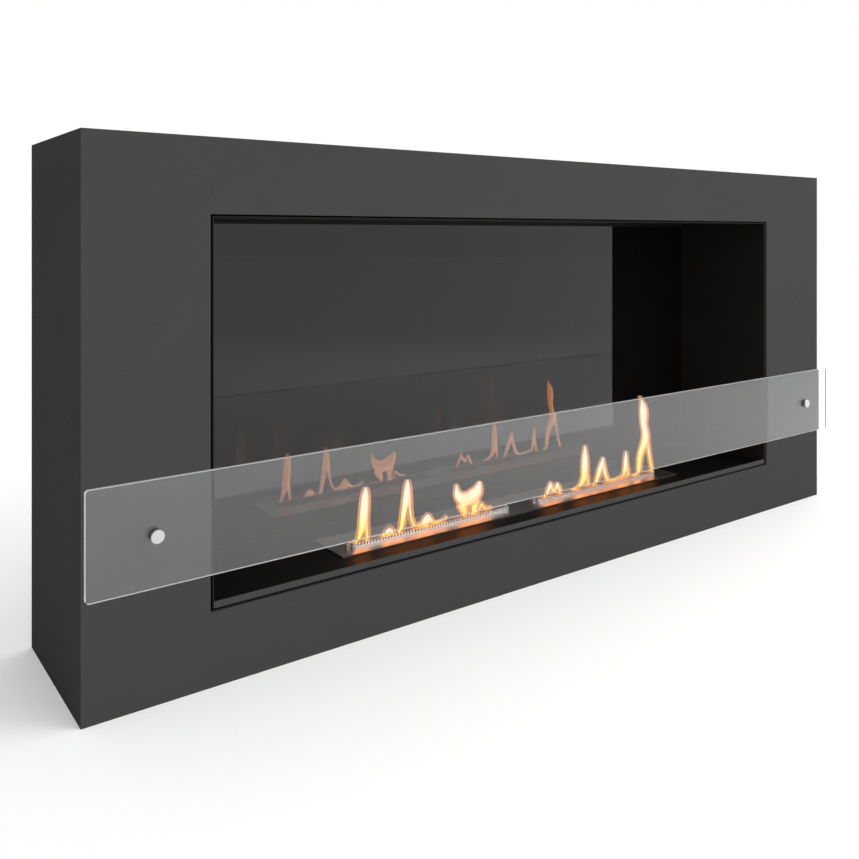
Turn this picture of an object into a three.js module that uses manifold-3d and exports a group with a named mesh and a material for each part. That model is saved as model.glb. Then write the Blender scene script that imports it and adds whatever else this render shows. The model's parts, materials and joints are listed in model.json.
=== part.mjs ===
// A wall-hung bioethanol fireplace: a folded sheet-steel casing around a black firebox, a mirror glass back,
// two slot burners with sliding lids, and a clear glass strip on two standoffs.
// Millimetres, +Z up, front towards -Y. The origin is the centre of the base of the whole object's box.
import * as THREE from "three";
import { mergeVertices } from "three/addons/utils/BufferGeometryUtils.js";
import Module from "manifold-3d";

const wasm = await Module();
wasm.setup();

// ---- Driving dimensions ----
const SEAT = 0.3; // gap left between pieces that touch
const PAST = 1; // how far a cut runs past what it cuts

// Outer casing. Depths are measured from the front face towards the wall.
const WIDTH = 1200;
const HEIGHT = 537;
const DEPTH = 194;
const CASING_SHEET = 1.5;
const BORDER_LEFT = 121.5;
const BORDER_RIGHT = 147;
const BORDER_BOTTOM = 73;
const BORDER_TOP = 75.5;
const RETURN_DEPTH = 12; // fold-back around the opening
const REAR_RECESS = 17; // from the casing's rear edge to the flange for the rear panel
const REAR_FLANGE_WIDTH = 12;

// Firebox liner, a smaller box inside the opening.
const LINER_SHEET = 1.2;
const LINER_SIDE_GAP = 4.2; // from the opening's edge to the wall's inner face
const LINER_TOP_GAP = 3;
const LINER_RECESS = 2; // the liner's front edges behind the front face
const FLOOR_RISE = 2.7; // the shelf's top above the opening's lower edge
const LIP_HEIGHT = 6.5; // above the shelf
const MIRROR_SETBACK = 32; // from the casing's rear edge to the mirror's front surface
const MIRROR_THICK = 5;
const MIRROR_SIDE_GAP = 1;
const CHANNEL_SHEET = 1; // of the channel and clips that hold the mirror glass
const CHANNEL_DROP = 4;
const CLIP_WIDTH = 12;
const CLIP_HEIGHT = 8;
const CLIP_FOOT = 9;
const CLIP_INSET = 4;
const LINER_SETBACK = 24; // from the casing's rear edge to the firebox's rear wall

// Burners, two alike, end to end.
const BURNER_JOINT_X = -12; // where the two plates meet
const PLATE_LENGTH = 292.6;
const PLATE_JOINT_GAP = 0.8;
const PLATE_FRONT = 41.5;
const PLATE_DEPTH = 70;
const PLATE_THICK = 1.5;
const COMB_SETBACK = 17; // from the plate's front edge
const COMB_THICK = 1;
const COMB_END_MARGIN = 25.3; // from the plate's end
const COMB_HEIGHT = 4.6;
const COMB_SPINE = 0.9; // the band under the slits
const COMB_PITCH = 4.3;
const COMB_SLIT = 1.9;
const COMB_BEND = 5; // outer radius where the comb turns back at its ends
const COMB_RETURN = 8; // how far back the comb's ends reach
const SLOT_OFFSET = -2; // of the slot and what goes with it, from the burner's middle
const RIM_SETBACK = 25.8; // from the plate's front edge
const RIM_THICK = 1;
const RIM_HEIGHT = 4;
const RIM_END_MARGIN = 22.3; // from the plate's end
const RIM_CORNER = 3;
const RIM_FOOT = 5;
const SLOT_EDGE = 0.5; // from the slot's rear edge to the rim
const LID_OPEN_GAP = 0.9; // from the slot's rear edge to the lid when open
const LID_SHEET = 1.2;
const LID_OVERLAP = 3; // past the slot's ends
const LID_BACK_GAP = 1.3; // to the tank's back wall, with the slot open
const LID_EAR_WIDTH = 8; // two ears reach into the slot's ends, each with a hole for the hook
const LID_EAR_REACH = 5;
const LID_EAR_END_GAP = 1;
const HOOK_HOLE = 2.6; // across
const HOOK_HOLE_INSET = 20; // from the plate's right end
const HOOK_HOLE_SETBACKS = [15.5, 21.3]; // from the plate's front edge
const TANK_END_MARGIN = 15.3; // from the plate's end to the tank
const TANK_SIDE_MARGIN = 5; // from the plate's front and back edges to the tank
const TANK_SHEET = 1.2;
const TANK_BOTTOM = 14;
const WOOL_MARGIN = 3;
const WOOL_HEIGHT = 44;
const GUIDE_WIDTH = 8;
const GUIDE_THICK = 1.2;
const GUIDE_LENGTH = 34;
const GUIDE_SPREAD = 90; // from the slot's middle
const CUTOUT_MARGIN = 1.5; // around a tank, in the shelf

// Supports.
const SUPPORT_SHEET = 1.5;
const SUPPORT_WIDTH = 20;
const SUPPORT_FRONT_GAP = 2; // behind the opening's return
const SUPPORT_BACK_GAP = 12; // before the firebox's rear wall
const SUPPORT_INSET = 34; // from the firebox's ends
const HANGER_INSET = 174; // from the firebox's ends

// Glass screen and its standoffs.
const SCREEN_BOTTOM = 116;
const SCREEN_TOP = 216;
const SCREEN_THICK = 5;
const SCREEN_GAP = 11; // from the casing's face to the glass
const SCREEN_CORNER = 3;
const STANDOFF_INSET = 63; // from the casing's side
const STANDOFF_Z = 164.5;
const STANDOFF_RADIUS = 6.5;
const GASKET_THICK = 0.5;
const CAP_THICK = 3.3;
const CAP_CHAMFER = 0.6;
const STUD_RADIUS = 3;
const STUD_CLEARANCE = 0.4;
const NUT_RADIUS = 5.8; // across corners
const NUT_THICK = 5;
const STUD_PAST_NUT = 2;

// Rear panel, wall rail, hooks and spacers.
const PANEL_SHEET = 1.2;
const SCREW_HEAD_RADIUS = 4;
const SCREW_HEAD_HEIGHT = 2.2;
const SCREW_CROWN_RADIUS = 2.4; // the flat of the head's domed top
const SCREW_RADIUS = 2;
const SCREW_LENGTH = 8;
const SCREW_CLEARANCE = 0.3;
const SIDE_SCREW_INSET = 60; // from the top and bottom edges
const EDGE_SCREW_X = 250;
const VENT_LENGTH = 60;
const VENT_HEIGHT = 5;
const VENT_PITCH = 95;
const VENT_COUNT = 8;
const VENT_DROP = 31; // from the casing's top
const RAIL_LENGTH = 700;
const RAIL_DROP = 55; // from the casing's top to the rail's lip
const RAIL_LIP_HEIGHT = 12;
const RAIL_PLATE_HEIGHT = 40;
const RAIL_SHEET = 1.5;
const RAIL_REACH = 7.5;
const RAIL_HOLE_RADIUS = 4;
const RAIL_HOLE_X = [-320, -110, 110, 320];
const HOOK_LENGTH = 60;
const HOOK_X = 250;
const HOOK_PLATE_HEIGHT = 42; // below the rail's lip
const HOOK_SHEET = 1.5;
const HOOK_LEG_DROP = 10;
const SPACER_RADIUS = 10;
const SPACER_INSET = 150; // from the casing's side
const SPACER_Z = 60;

// ---- Places worked out from them ----
const CAP_FRONT = SCREEN_GAP + SCREEN_THICK + 2 * SEAT + GASKET_THICK + CAP_THICK; // before the face
const FACE_Y = -(DEPTH - CAP_FRONT) / 2; // the front face, with the whole object centred on Y = 0
const SIDE = WIDTH / 2;
const OPEN_LEFT = -SIDE + BORDER_LEFT;
const OPEN_RIGHT = SIDE - BORDER_RIGHT;
const OPEN_BOTTOM = BORDER_BOTTOM;
const OPEN_TOP = HEIGHT - BORDER_TOP;
const LINER_LEFT = OPEN_LEFT + LINER_SIDE_GAP;
const LINER_RIGHT = OPEN_RIGHT - LINER_SIDE_GAP;
const CEILING_Z = OPEN_TOP - LINER_TOP_GAP;
const FLOOR_TOP = OPEN_BOTTOM + FLOOR_RISE;
const MIRROR_DEPTH = DEPTH - MIRROR_SETBACK;
const LINER_BACK = DEPTH - LINER_SETBACK;
const PLATE_BOTTOM = FLOOR_TOP + SEAT;
const PLATE_TOP = PLATE_BOTTOM + PLATE_THICK;
const BURNER_OFFSET = (PLATE_LENGTH + PLATE_JOINT_GAP) / 2;
const PLATE_BACK = PLATE_FRONT + PLATE_DEPTH;
const TANK_LENGTH = PLATE_LENGTH - 2 * TANK_END_MARGIN;
const TANK_FRONT = PLATE_FRONT + TANK_SIDE_MARGIN;
const TANK_BACK = PLATE_BACK - TANK_SIDE_MARGIN;
const TANK_TOP = PLATE_BOTTOM - SEAT;
const LID_TOP = PLATE_BOTTOM - SEAT;
const LID_BOTTOM = LID_TOP - LID_SHEET;
const LID_BACK = TANK_BACK - TANK_SHEET - LID_BACK_GAP;
const COMB_LENGTH = PLATE_LENGTH - 2 * COMB_END_MARGIN;
const COMB_FRONT = PLATE_FRONT + COMB_SETBACK;
const COMB_BACK = COMB_FRONT + COMB_THICK;
const RIM_FRONT = PLATE_FRONT + RIM_SETBACK;
const RIM_LENGTH = PLATE_LENGTH - 2 * RIM_END_MARGIN;
const SLOT_FRONT = COMB_BACK + SEAT;
const SLOT_BACK = RIM_FRONT - SLOT_EDGE;
const SLOT_HALF = COMB_LENGTH / 2 - COMB_THICK - SEAT;
const LID_FRONT = SLOT_BACK + LID_OPEN_GAP; // at rest, with the slot open
const REAR_FLANGE_DEPTH = DEPTH - REAR_RECESS;
const PANEL_DEPTH = REAR_FLANGE_DEPTH + CASING_SHEET + SEAT; // front of the rear panel
const PANEL_BACK = PANEL_DEPTH + PANEL_SHEET;
const RAIL_LIP_TOP = HEIGHT - RAIL_DROP;
const RAIL_BEND_Z = RAIL_LIP_TOP - RAIL_LIP_HEIGHT;
const RAIL_BOTTOM = RAIL_BEND_Z - RAIL_PLATE_HEIGHT;
const STUD_HOLE = STUD_RADIUS + STUD_CLEARANCE; // radius of the holes around a stud
const SCREW_HOLE = SCREW_RADIUS + SCREW_CLEARANCE; // radius of the holes around a screw

// ---- Materials ----
const graphite = new THREE.MeshStandardMaterial({ color: 0x4b4b4b, roughness: 0.55, metalness: 0.2 });
const black = new THREE.MeshStandardMaterial({ color: 0x101010, roughness: 0.5, metalness: 0.1 });
const mirrorBlack = new THREE.MeshStandardMaterial({ color: 0x050505, roughness: 0.03, metalness: 0 });
const stainless = new THREE.MeshStandardMaterial({ color: 0xa7a29c, roughness: 0.35, metalness: 1 });
const chrome = new THREE.MeshStandardMaterial({ color: 0xdadada, roughness: 0.15, metalness: 1 });
const zinc = new THREE.MeshStandardMaterial({ color: 0x9a9ca0, roughness: 0.45, metalness: 1 });
const wool = new THREE.MeshStandardMaterial({ color: 0xe8e4da, roughness: 1, metalness: 0 });
const rubber = new THREE.MeshStandardMaterial({ color: 0x1a1a1a, roughness: 0.9, metalness: 0 });
const clearGlass = new THREE.MeshStandardMaterial({
  color: 0xdfeee8,
  roughness: 0.02,
  metalness: 0,
  transparent: true,
  opacity: 0.35,
});

// ---- Solid helpers ----
function solidOf(geometry) {
  const plain = geometry.clone();
  plain.deleteAttribute("normal");
  plain.deleteAttribute("uv");
  const merged = mergeVertices(plain, 1e-4);
  return new wasm.Manifold(
    new wasm.Mesh({
      numProp: 3,
      vertProperties: merged.attributes.position.array,
      triVerts: new Uint32Array(merged.index.array),
    }),
  );
}

function geometryOf(solid) {
  const made = solid.getMesh();
  const geometry = new THREE.BufferGeometry();
  geometry.setAttribute("position", new THREE.BufferAttribute(new Float32Array(made.vertProperties), 3));
  geometry.setIndex(new THREE.BufferAttribute(new Uint32Array(made.triVerts), 1));
  geometry.computeVertexNormals();
  return geometry;
}

// A block between two limits on each axis.
function block(x0, x1, y0, y1, z0, z1) {
  const box = new THREE.BoxGeometry(x1 - x0, y1 - y0, z1 - z0);
  return box.translate((x0 + x1) / 2, (y0 + y1) / 2, (z0 + z1) / 2);
}

function joined(...geometries) {
  return geometries.map(solidOf).reduce((whole, piece) => whole.add(piece));
}

function without(solid, geometries) {
  return geometries.map(solidOf).reduce((rest, piece) => rest.subtract(piece), solid);
}

// A cylinder along Y, from depth y0 to y1.
function roundBar(radius, x, z, y0, y1, sides = 20) {
  return new THREE.CylinderGeometry(radius, radius, y1 - y0, sides).translate(x, (y0 + y1) / 2, z);
}

// An outline in the depth and height plane, run along X from x0 to x1. Points are [depth, height].
function profileAlongX(points, x0, x1) {
  const shape = new THREE.Shape(points.map(([depth, height]) => new THREE.Vector2(depth, height)));
  const run = new THREE.ExtrudeGeometry(shape, { depth: x1 - x0, bevelEnabled: false });
  // The outline's first axis turns to +Y, its second to +Z and the run to +X.
  const turn = new THREE.Matrix4().makeBasis(
    new THREE.Vector3(0, 1, 0),
    new THREE.Vector3(0, 0, 1),
    new THREE.Vector3(1, 0, 0),
  );
  return run.applyMatrix4(turn).translate(x0, 0, 0);
}

// A turned piece on the Y axis, from a closed outline of [radius, depth] points.
function turned(points, sides = 20) {
  const outline = points.map(([radius, depth]) => new THREE.Vector2(radius, depth));
  return new THREE.LatheGeometry(outline, sides);
}

const object = new THREE.Group();
const body = new THREE.Group(); // inside it, Y is the depth behind the front face
body.position.y = FACE_Y;
object.add(body);

function place(parent, name, shape, material, x = 0, y = 0, z = 0) {
  const geometry = shape.isBufferGeometry ? shape : geometryOf(shape);
  const mesh = new THREE.Mesh(geometry, material);
  mesh.name = name;
  mesh.position.set(x, y, z);
  parent.add(mesh);
}

// ---- Casing ----
// Screws around the rear panel, as [x, z].
const flangeMiddle = CASING_SHEET + REAR_FLANGE_WIDTH / 2;
const sideScrewX = [-SIDE + flangeMiddle, SIDE - flangeMiddle];
const edgeScrewZ = [flangeMiddle, HEIGHT - flangeMiddle];
const screwSpots = [
  ...sideScrewX.flatMap((x) => [SIDE_SCREW_INSET, HEIGHT - SIDE_SCREW_INSET].map((z) => [x, z])),
  ...edgeScrewZ.flatMap((z) => [-EDGE_SCREW_X, EDGE_SCREW_X].map((x) => [x, z])),
];
const standoffX = [-SIDE + STANDOFF_INSET, SIDE - STANDOFF_INSET];

// A block over an area in X and Z, between two depths.
function slab(area, y0, y1) {
  return block(area.left, area.right, y0, y1, area.bottom, area.top);
}

function grown(area, by) {
  return { left: area.left - by, right: area.right + by, bottom: area.bottom - by, top: area.top + by };
}

// The cut for one screw through a sheet, from depth y0 to y1.
function screwBore(x, z, y0, y1) {
  return roundBar(SCREW_HOLE, x, z, y0 - PAST, y1 + PAST, 12);
}

const outside = { left: -SIDE, right: SIDE, bottom: 0, top: HEIGHT };
const inside = grown(outside, -CASING_SHEET);
const insideFlange = grown(inside, -REAR_FLANGE_WIDTH);
const opening = { left: OPEN_LEFT, right: OPEN_RIGHT, bottom: OPEN_BOTTOM, top: OPEN_TOP };
const flangeBack = REAR_FLANGE_DEPTH + CASING_SHEET;

function buildCasing() {
  const hollow = without(solidOf(slab(outside, 0, DEPTH)), [
    slab(inside, CASING_SHEET, REAR_FLANGE_DEPTH),
    slab(insideFlange, REAR_FLANGE_DEPTH - PAST, flangeBack + PAST),
    slab(inside, flangeBack, DEPTH + PAST),
  ]);
  const returns = solidOf(slab(grown(opening, CASING_SHEET), CASING_SHEET / 2, RETURN_DEPTH));
  return without(hollow.add(returns), [
    slab(opening, -PAST, RETURN_DEPTH + PAST),
    ...standoffX.map((x) => roundBar(STUD_HOLE, x, STANDOFF_Z, -PAST, CASING_SHEET + PAST)),
    ...screwSpots.map(([x, z]) => screwBore(x, z, REAR_FLANGE_DEPTH, flangeBack)),
  ]);
}
place(body, "outer_casing", buildCasing(), graphite);

// ---- Firebox ----
const linerOuterLeft = LINER_LEFT - LINER_SHEET;
const linerOuterRight = LINER_RIGHT + LINER_SHEET;
const wallBottom = FLOOR_TOP + SEAT;
const wallTop = CEILING_Z - SEAT;
const wallBack = LINER_BACK - SEAT;

function sideWall(x0) {
  return block(x0, x0 + LINER_SHEET, LINER_RECESS, wallBack, wallBottom, wallTop);
}

// A level sheet as wide and deep as the whole liner.
function linerSheet(z0, z1) {
  return block(linerOuterLeft, linerOuterRight, LINER_RECESS, LINER_BACK + LINER_SHEET, z0, z1);
}
place(body, "firebox_left_wall", sideWall(linerOuterLeft), black);
place(body, "firebox_right_wall", sideWall(LINER_RIGHT), black);
place(body, "firebox_ceiling", linerSheet(CEILING_Z, CEILING_Z + LINER_SHEET), black);
place(
  body,
  "firebox_rear_wall",
  block(linerOuterLeft, linerOuterRight, LINER_BACK, LINER_BACK + LINER_SHEET, wallBottom, wallTop),
  black,
);

// The mirror glass stands on the floor, its top edge in a channel and its foot behind two clips.
const mirrorBack = MIRROR_DEPTH + MIRROR_THICK;
const mirrorLeft = LINER_LEFT + MIRROR_SIDE_GAP;
const mirrorRight = LINER_RIGHT - MIRROR_SIDE_GAP;
const channelTop = CEILING_Z - SEAT;
const mirrorTop = channelTop - CHANNEL_SHEET - SEAT;
place(
  body,
  "mirror_glass_panel",
  block(mirrorLeft, mirrorRight, MIRROR_DEPTH, mirrorBack, wallBottom, mirrorTop),
  mirrorBlack,
);
place(
  body,
  "mirror_top_channel",
  profileAlongX(
    [
      [MIRROR_DEPTH - SEAT - CHANNEL_SHEET, channelTop],
      [MIRROR_DEPTH - SEAT - CHANNEL_SHEET, channelTop - CHANNEL_DROP],
      [MIRROR_DEPTH - SEAT, channelTop - CHANNEL_DROP],
      [MIRROR_DEPTH - SEAT, channelTop - CHANNEL_SHEET],
      [mirrorBack + SEAT, channelTop - CHANNEL_SHEET],
      [mirrorBack + SEAT, channelTop - CHANNEL_DROP],
      [mirrorBack + SEAT + CHANNEL_SHEET, channelTop - CHANNEL_DROP],
      [mirrorBack + SEAT + CHANNEL_SHEET, channelTop],
    ],
    mirrorLeft,
    mirrorRight,
  ),
  black,
);
[
  ["mirror_clip_left", mirrorLeft + CLIP_INSET],
  ["mirror_clip_right", mirrorRight - CLIP_INSET - CLIP_WIDTH],
].forEach(([name, x]) => {
  const clipBack = MIRROR_DEPTH - SEAT;
  const outline = [
    [clipBack - CLIP_FOOT, wallBottom],
    [clipBack, wallBottom],
    [clipBack, wallBottom + CLIP_HEIGHT],
    [clipBack - CHANNEL_SHEET, wallBottom + CLIP_HEIGHT],
    [clipBack - CHANNEL_SHEET, wallBottom + CHANNEL_SHEET],
    [clipBack - CLIP_FOOT, wallBottom + CHANNEL_SHEET],
  ];
  place(body, name, profileAlongX(outline, x, x + CLIP_WIDTH), black);
});

// ---- Burner shelf, with a raised front lip and a cut-out for each tank ----
const burnerX = [BURNER_JOINT_X - BURNER_OFFSET, BURNER_JOINT_X + BURNER_OFFSET];
const floorBottom = FLOOR_TOP - LINER_SHEET;
function buildShelf() {
  const sheet = joined(
    linerSheet(floorBottom, FLOOR_TOP),
    block(
      LINER_LEFT + SEAT,
      LINER_RIGHT - SEAT,
      LINER_RECESS,
      LINER_RECESS + LINER_SHEET,
      FLOOR_TOP - LINER_SHEET / 2,
      FLOOR_TOP + LIP_HEIGHT,
    ),
  );
  const halfCut = TANK_LENGTH / 2 + CUTOUT_MARGIN;
  const cuts = burnerX.map((x) =>
    block(
      x - halfCut,
      x + halfCut,
      TANK_FRONT - CUTOUT_MARGIN,
      TANK_BACK + CUTOUT_MARGIN,
      floorBottom - PAST,
      FLOOR_TOP + PAST,
    ),
  );
  return without(sheet, cuts);
}
place(body, "burner_shelf", buildShelf(), black);

// Folded C supports: three stand on the casing's floor, two hang the ceiling from its top.
function supportProfile(bottom, top) {
  const half = SUPPORT_WIDTH / 2;
  const inner = half - SUPPORT_SHEET;
  const outline = new THREE.Shape([
    new THREE.Vector2(-half, bottom),
    new THREE.Vector2(half, bottom),
    new THREE.Vector2(half, bottom + SUPPORT_SHEET),
    new THREE.Vector2(-inner, bottom + SUPPORT_SHEET),
    new THREE.Vector2(-inner, top - SUPPORT_SHEET),
    new THREE.Vector2(half, top - SUPPORT_SHEET),
    new THREE.Vector2(half, top),
    new THREE.Vector2(-half, top),
  ]);
  const front = RETURN_DEPTH + SUPPORT_FRONT_GAP;
  const back = LINER_BACK - SUPPORT_BACK_GAP;
  const run = new THREE.ExtrudeGeometry(outline, { depth: back - front, bevelEnabled: false });
  // The outline stands up, and the run goes forward from its back end.
  return run.rotateX(Math.PI / 2).translate(0, back, 0);
}
const supportX = [LINER_LEFT + SUPPORT_INSET, BURNER_JOINT_X, LINER_RIGHT - SUPPORT_INSET];
const shelfSupport = supportProfile(CASING_SHEET + SEAT, floorBottom - SEAT);
["shelf_support_left", "shelf_support_center", "shelf_support_right"].forEach((name, i) => {
  place(body, name, shelfSupport, graphite, supportX[i]);
});
const hangerX = [LINER_LEFT + HANGER_INSET, LINER_RIGHT - HANGER_INSET];
const ceilingHanger = supportProfile(CEILING_Z + LINER_SHEET + SEAT, HEIGHT - CASING_SHEET - SEAT);
["ceiling_hanger_left", "ceiling_hanger_right"].forEach((name, i) => {
  place(body, name, ceilingHanger, graphite, hangerX[i]);
});

// ---- Burners ----
// Seen from above, the comb is a flat U: straight along the slot's front, its two ends bent back.
function buildComb() {
  const half = COMB_LENGTH / 2;
  const inner = COMB_BEND - COMB_THICK;
  const back = COMB_FRONT + COMB_RETURN;
  const plan = new THREE.Shape();
  plan.moveTo(-half, back);
  plan.lineTo(-half, COMB_FRONT + COMB_BEND);
  plan.absarc(-half + COMB_BEND, COMB_FRONT + COMB_BEND, COMB_BEND, Math.PI, 1.5 * Math.PI, false);
  plan.lineTo(half - COMB_BEND, COMB_FRONT);
  plan.absarc(half - COMB_BEND, COMB_FRONT + COMB_BEND, COMB_BEND, 1.5 * Math.PI, 2 * Math.PI, false);
  plan.lineTo(half, back);
  plan.lineTo(half - COMB_THICK, back);
  plan.lineTo(half - COMB_THICK, COMB_FRONT + COMB_BEND);
  plan.absarc(half - COMB_BEND, COMB_FRONT + COMB_BEND, inner, 2 * Math.PI, 1.5 * Math.PI, true);
  plan.lineTo(-half + COMB_BEND, COMB_BACK);
  plan.absarc(-half + COMB_BEND, COMB_FRONT + COMB_BEND, inner, 1.5 * Math.PI, Math.PI, true);
  plan.lineTo(-half + COMB_THICK, back);
  plan.closePath();
  const bottom = PLATE_TOP + SEAT;
  const wall = new THREE.ExtrudeGeometry(plan, { depth: COMB_HEIGHT, curveSegments: 4, bevelEnabled: false });
  wall.translate(0, 0, bottom);
  const slitBottom = bottom + COMB_SPINE;
  const slitTop = bottom + COMB_HEIGHT + PAST;
  const slitCount = Math.floor((COMB_LENGTH - 2 * COMB_BEND) / COMB_PITCH) + 1;
  const slits = [];
  for (let i = 0; i < slitCount; i += 1) {
    const x = (i - (slitCount - 1) / 2) * COMB_PITCH;
    slits.push(
      block(x - COMB_SLIT / 2, x + COMB_SLIT / 2, COMB_FRONT - PAST, COMB_BACK + PAST, slitBottom, slitTop),
    );
  }
  // One more slit across both ends, behind the bends.
  const bendBack = COMB_FRONT + COMB_BEND;
  slits.push(block(-half - PAST, half + PAST, bendBack, bendBack + COMB_SLIT / 2, slitBottom, slitTop));
  return without(solidOf(wall), slits);
}

// The cut for one hook hole, straight down from z1 to z0.
function hookBore(x, y, z0, z1) {
  const bore = new THREE.CylinderGeometry(HOOK_HOLE / 2, HOOK_HOLE / 2, z1 - z0, 12);
  return bore.rotateX(Math.PI / 2).translate(x, y, (z0 + z1) / 2);
}

// The slot's rear rim: a blade with rounded upper corners on a foot that points back.
function buildRim() {
  const half = RIM_LENGTH / 2;
  const bottom = PLATE_TOP + SEAT;
  const top = bottom + RIM_HEIGHT;
  const face = new THREE.Shape();
  face.moveTo(-half, bottom);
  face.lineTo(half, bottom);
  face.absarc(half - RIM_CORNER, top - RIM_CORNER, RIM_CORNER, 0, Math.PI / 2, false);
  face.absarc(-half + RIM_CORNER, top - RIM_CORNER, RIM_CORNER, Math.PI / 2, Math.PI, false);
  face.closePath();
  const blade = new THREE.ExtrudeGeometry(face, { depth: RIM_THICK, curveSegments: 5, bevelEnabled: false });
  blade.rotateX(Math.PI / 2).translate(0, RIM_FRONT + RIM_THICK, 0);
  const footBack = RIM_FRONT + RIM_THICK + RIM_FOOT;
  return joined(blade, block(-half, half, RIM_FRONT + RIM_THICK / 2, footBack, bottom, bottom + RIM_THICK));
}

function buildPlate() {
  const half = PLATE_LENGTH / 2;
  const sheet = solidOf(block(-half, half, PLATE_FRONT, PLATE_BACK, PLATE_BOTTOM, PLATE_TOP));
  const below = PLATE_BOTTOM - PAST;
  const above = PLATE_TOP + PAST;
  const hookHoles = HOOK_HOLE_SETBACKS.map((setback) =>
    hookBore(half - HOOK_HOLE_INSET, PLATE_FRONT + setback, below, above),
  );
  const slot = block(SLOT_OFFSET - SLOT_HALF, SLOT_OFFSET + SLOT_HALF, SLOT_FRONT, SLOT_BACK, below, above);
  return without(sheet, [slot, ...hookHoles]);
}

const tankInnerHalf = TANK_LENGTH / 2 - TANK_SHEET;
function buildTank() {
  const half = TANK_LENGTH / 2;
  return without(solidOf(block(-half, half, TANK_FRONT, TANK_BACK, TANK_BOTTOM, TANK_TOP)), [
    block(
      -tankInnerHalf,
      tankInnerHalf,
      TANK_FRONT + TANK_SHEET,
      TANK_BACK - TANK_SHEET,
      TANK_BOTTOM + TANK_SHEET,
      TANK_TOP + PAST,
    ),
  ]);
}

// A flat slide under the plate, with an ear at each end of the slot for the hook that moves it.
function buildLid() {
  const half = SLOT_HALF + LID_OVERLAP;
  const earEnd = SLOT_HALF - LID_EAR_END_GAP;
  const earFront = LID_FRONT - LID_EAR_REACH;
  const earRoot = LID_FRONT + LID_SHEET;
  const lid = joined(
    block(-half, half, LID_FRONT, LID_BACK, LID_BOTTOM, LID_TOP),
    block(-earEnd, LID_EAR_WIDTH - earEnd, earFront, earRoot, LID_BOTTOM, LID_TOP),
    block(earEnd - LID_EAR_WIDTH, earEnd, earFront, earRoot, LID_BOTTOM, LID_TOP),
  );
  const holeX = earEnd - LID_EAR_WIDTH / 2;
  const holeY = LID_FRONT - LID_EAR_REACH / 2;
  return without(
    lid,
    [-holeX, holeX].map((x) => hookBore(x, holeY, LID_BOTTOM - PAST, LID_TOP + PAST)),
  );
}

const comb = geometryOf(buildComb());
const rim = geometryOf(buildRim());
const plate = geometryOf(buildPlate());
const tank = geometryOf(buildTank());
const lid = geometryOf(buildLid());
const guideTop = LID_BOTTOM - SEAT;
const guideBack = TANK_BACK - TANK_SHEET - SEAT;
const guideHalf = GUIDE_WIDTH / 2;
const guideBottom = guideTop - GUIDE_THICK;
const guide = block(-guideHalf, guideHalf, guideBack - GUIDE_LENGTH, guideBack, guideBottom, guideTop);
const woolHalf = tankInnerHalf - WOOL_MARGIN;
const woolBottom = TANK_BOTTOM + TANK_SHEET + SEAT;
const woolBlock = block(
  -woolHalf,
  woolHalf,
  TANK_FRONT + TANK_SHEET + WOOL_MARGIN,
  TANK_BACK - TANK_SHEET - WOOL_MARGIN,
  woolBottom,
  woolBottom + WOOL_HEIGHT,
);

["left", "right"].forEach((hand, i) => {
  const burner = new THREE.Group();
  burner.position.x = burnerX[i];
  body.add(burner);
  place(burner, `burner_${hand}_plate`, plate, stainless);
  place(burner, `burner_${hand}_comb`, comb, stainless, SLOT_OFFSET);
  place(burner, `burner_${hand}_rim`, rim, stainless, SLOT_OFFSET);
  place(burner, `burner_${hand}_lid`, lid, stainless, SLOT_OFFSET);
  place(burner, `burner_${hand}_tank`, tank, stainless);
  place(burner, `burner_${hand}_wool`, woolBlock, wool);
  place(burner, `burner_${hand}_guide_a`, guide, stainless, SLOT_OFFSET - GUIDE_SPREAD);
  place(burner, `burner_${hand}_guide_b`, guide, stainless, SLOT_OFFSET + GUIDE_SPREAD);
});

// ---- Glass screen on two standoffs ----
function buildScreen() {
  const outline = new THREE.Shape();
  const r = SCREEN_CORNER;
  outline.moveTo(-SIDE + r, SCREEN_BOTTOM);
  outline.lineTo(SIDE - r, SCREEN_BOTTOM);
  outline.absarc(SIDE - r, SCREEN_BOTTOM + r, r, -Math.PI / 2, 0, false);
  outline.lineTo(SIDE, SCREEN_TOP - r);
  outline.absarc(SIDE - r, SCREEN_TOP - r, r, 0, Math.PI / 2, false);
  outline.lineTo(-SIDE + r, SCREEN_TOP);
  outline.absarc(-SIDE + r, SCREEN_TOP - r, r, Math.PI / 2, Math.PI, false);
  outline.lineTo(-SIDE, SCREEN_BOTTOM + r);
  outline.absarc(-SIDE + r, SCREEN_BOTTOM + r, r, Math.PI, 1.5 * Math.PI, false);
  outline.closePath();
  standoffX.forEach((x) => {
    const hole = new THREE.Path();
    hole.absarc(x, STANDOFF_Z, STUD_HOLE, 0, 2 * Math.PI, true);
    outline.holes.push(hole);
  });
  const sheet = new THREE.ExtrudeGeometry(outline, {
    depth: SCREEN_THICK,
    curveSegments: 6,
    bevelEnabled: false,
  });
  return sheet.rotateX(Math.PI / 2).translate(0, -SCREEN_GAP, 0);
}
place(body, "glass_screen", buildScreen(), clearGlass);

// A washer-like ring around the stud, from depth y0 to y1.
function collar(radius, y0, y1) {
  return turned([
    [STUD_HOLE, y0],
    [radius, y0],
    [radius, y1],
    [STUD_HOLE, y1],
    [STUD_HOLE, y0],
  ]);
}

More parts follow.
